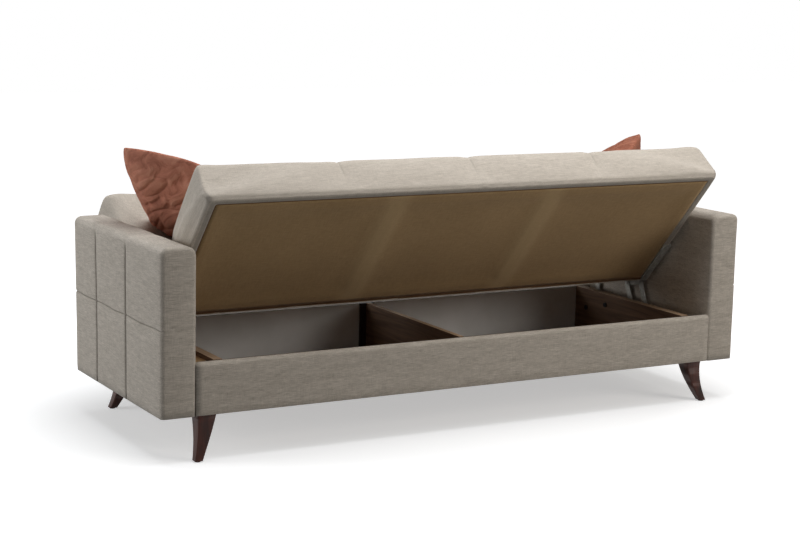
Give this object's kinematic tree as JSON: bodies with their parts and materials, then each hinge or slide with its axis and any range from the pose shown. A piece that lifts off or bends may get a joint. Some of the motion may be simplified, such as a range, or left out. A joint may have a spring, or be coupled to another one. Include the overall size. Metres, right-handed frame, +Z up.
{
  "type": "storage sofa bed",
  "caption": "Three-seat storage sofa bed with a lifting seat and back, a divided storage box, upholstered arms, sabre legs and two loose cushions.",
  "frame": {"origin": "on the floor, under the middle of the whole object as it stands open", "axes": "+Z up, +X along the sofa towards the sitter's left arm, the seat's front faces -Y"},
  "size_m": [2.15, 0.9772, 0.9221],
  "materials": {
    "greige_fabric": "matte",
    "brown_lining": "matte",
    "rust_velvet": "satin",
    "espresso_wood": "satin",
    "pine_timber": "matte",
    "hardboard": "matte",
    "pale_panel": "satin",
    "zinc_steel": "satin",
    "dark_steel": "satin",
    "black_plastic": "matte"
  },
  "bodies": {
    "base": {"leg_front_left": "espresso_wood", "leg_rear_left": "espresso_wood", "leg_front_right": "espresso_wood", "leg_rear_right": "espresso_wood", "leg_bolts": "dark_steel", "foot_glides": "black_plastic", "corner_block_front_left": "pine_timber", "corner_block_rear_left": "pine_timber", "corner_block_front_right": "pine_timber", "corner_block_rear_right": "pine_timber", "arm_bolts": "dark_steel", "arm_frame_left": "pine_timber", "arm_cover_left": "greige_fabric", "arm_frame_right": "pine_timber", "arm_cover_right": "greige_fabric", "front_rail": "pine_timber", "front_rail_cover": "greige_fabric", "rear_rail": "pine_timber", "rear_rail_cover": "greige_fabric", "bracket_bolts": "dark_steel", "side_board_left": "pine_timber", "mechanism_batten_left": "pine_timber", "side_board_right": "pine_timber", "mechanism_batten_right": "pine_timber", "box_front_board": "pine_timber", "front_panel_left": "pale_panel", "front_panel_right": "pale_panel", "centre_post": "espresso_wood", "centre_divider": "pine_timber", "floor_panel_left": "hardboard", "floor_panel_right": "hardboard", "base_bracket_left": "zinc_steel", "base_bracket_right": "zinc_steel", "base_pivot_pins": "zinc_steel"},
    "lift_links": {"lift_link_left": "zinc_steel", "lift_link_right": "zinc_steel"},
    "guide_links": {"guide_link_left": "zinc_steel", "guide_link_right": "zinc_steel"},
    "stay_links": {"stay_link_left": "zinc_steel", "stay_link_right": "zinc_steel", "stay_studs": "zinc_steel"},
    "carriers": {"carrier_left": "zinc_steel", "carrier_right": "zinc_steel", "carrier_pins": "zinc_steel"},
    "seat": {"seat_plate_screws": "dark_steel", "seat_frame": "pine_timber", "seat_lining": "brown_lining", "seat_cushion": "greige_fabric", "seat_plate_left": "zinc_steel", "seat_plate_right": "zinc_steel", "pillow_left": "rust_velvet", "pillow_right": "rust_velvet"},
    "back": {"back_plate_screws": "dark_steel", "back_frame": "pine_timber", "back_lining": "brown_lining", "back_cushion": "greige_fabric", "back_plate_left": "zinc_steel", "back_plate_right": "zinc_steel"}
  },
  "joints": [
    {"name": "lift", "type": "hinge", "parent": "base", "child": "lift_links", "pos_m": [0, 0.05719, 0.17787], "axis": [-1, 0, 0], "range_deg": [0, 62.5]},
    {"name": "guide_turn", "type": "hinge", "parent": "base", "child": "guide_links", "pos_m": [0, 0.13719, 0.19787], "axis": [-1, 0, 0], "range_deg": [0, 62.5]},
    {"name": "stay_turn", "type": "hinge", "parent": "base", "child": "stay_links", "pos_m": [0, -0.19644, 0.23526], "axis": [-1, 0, 0], "range_deg": [0, 64.24]},
    {"name": "carrier_turn", "type": "hinge", "parent": "lift_links", "child": "carriers", "pos_m": [0, -0.01565, 0.349], "axis": [1, 0, 0], "range_deg": [0, 62.5]},
    {"name": "seat_tilt", "type": "hinge", "parent": "carriers", "child": "seat", "pos_m": [0, 0.01435, 0.449], "axis": [1, 0, 0], "range_deg": [0, 28]},
    {"name": "back_recline", "type": "hinge", "parent": "carriers", "child": "back", "pos_m": [0, 0.01435, 0.449], "axis": [1, 0, 0], "range_deg": [-48, 28], "deforming": ["pillow_left", "pillow_right"]}
  ],
  "couplings": [
    {"joint": "guide_turn", "follows": "lift", "ratio": 1},
    {"joint": "stay_turn", "follows": "lift", "ratio": 1.0278},
    {"joint": "carrier_turn", "follows": "lift", "ratio": 1},
    {"joint": "seat_tilt", "follows": "lift", "ratio": 0.448}
  ]
}
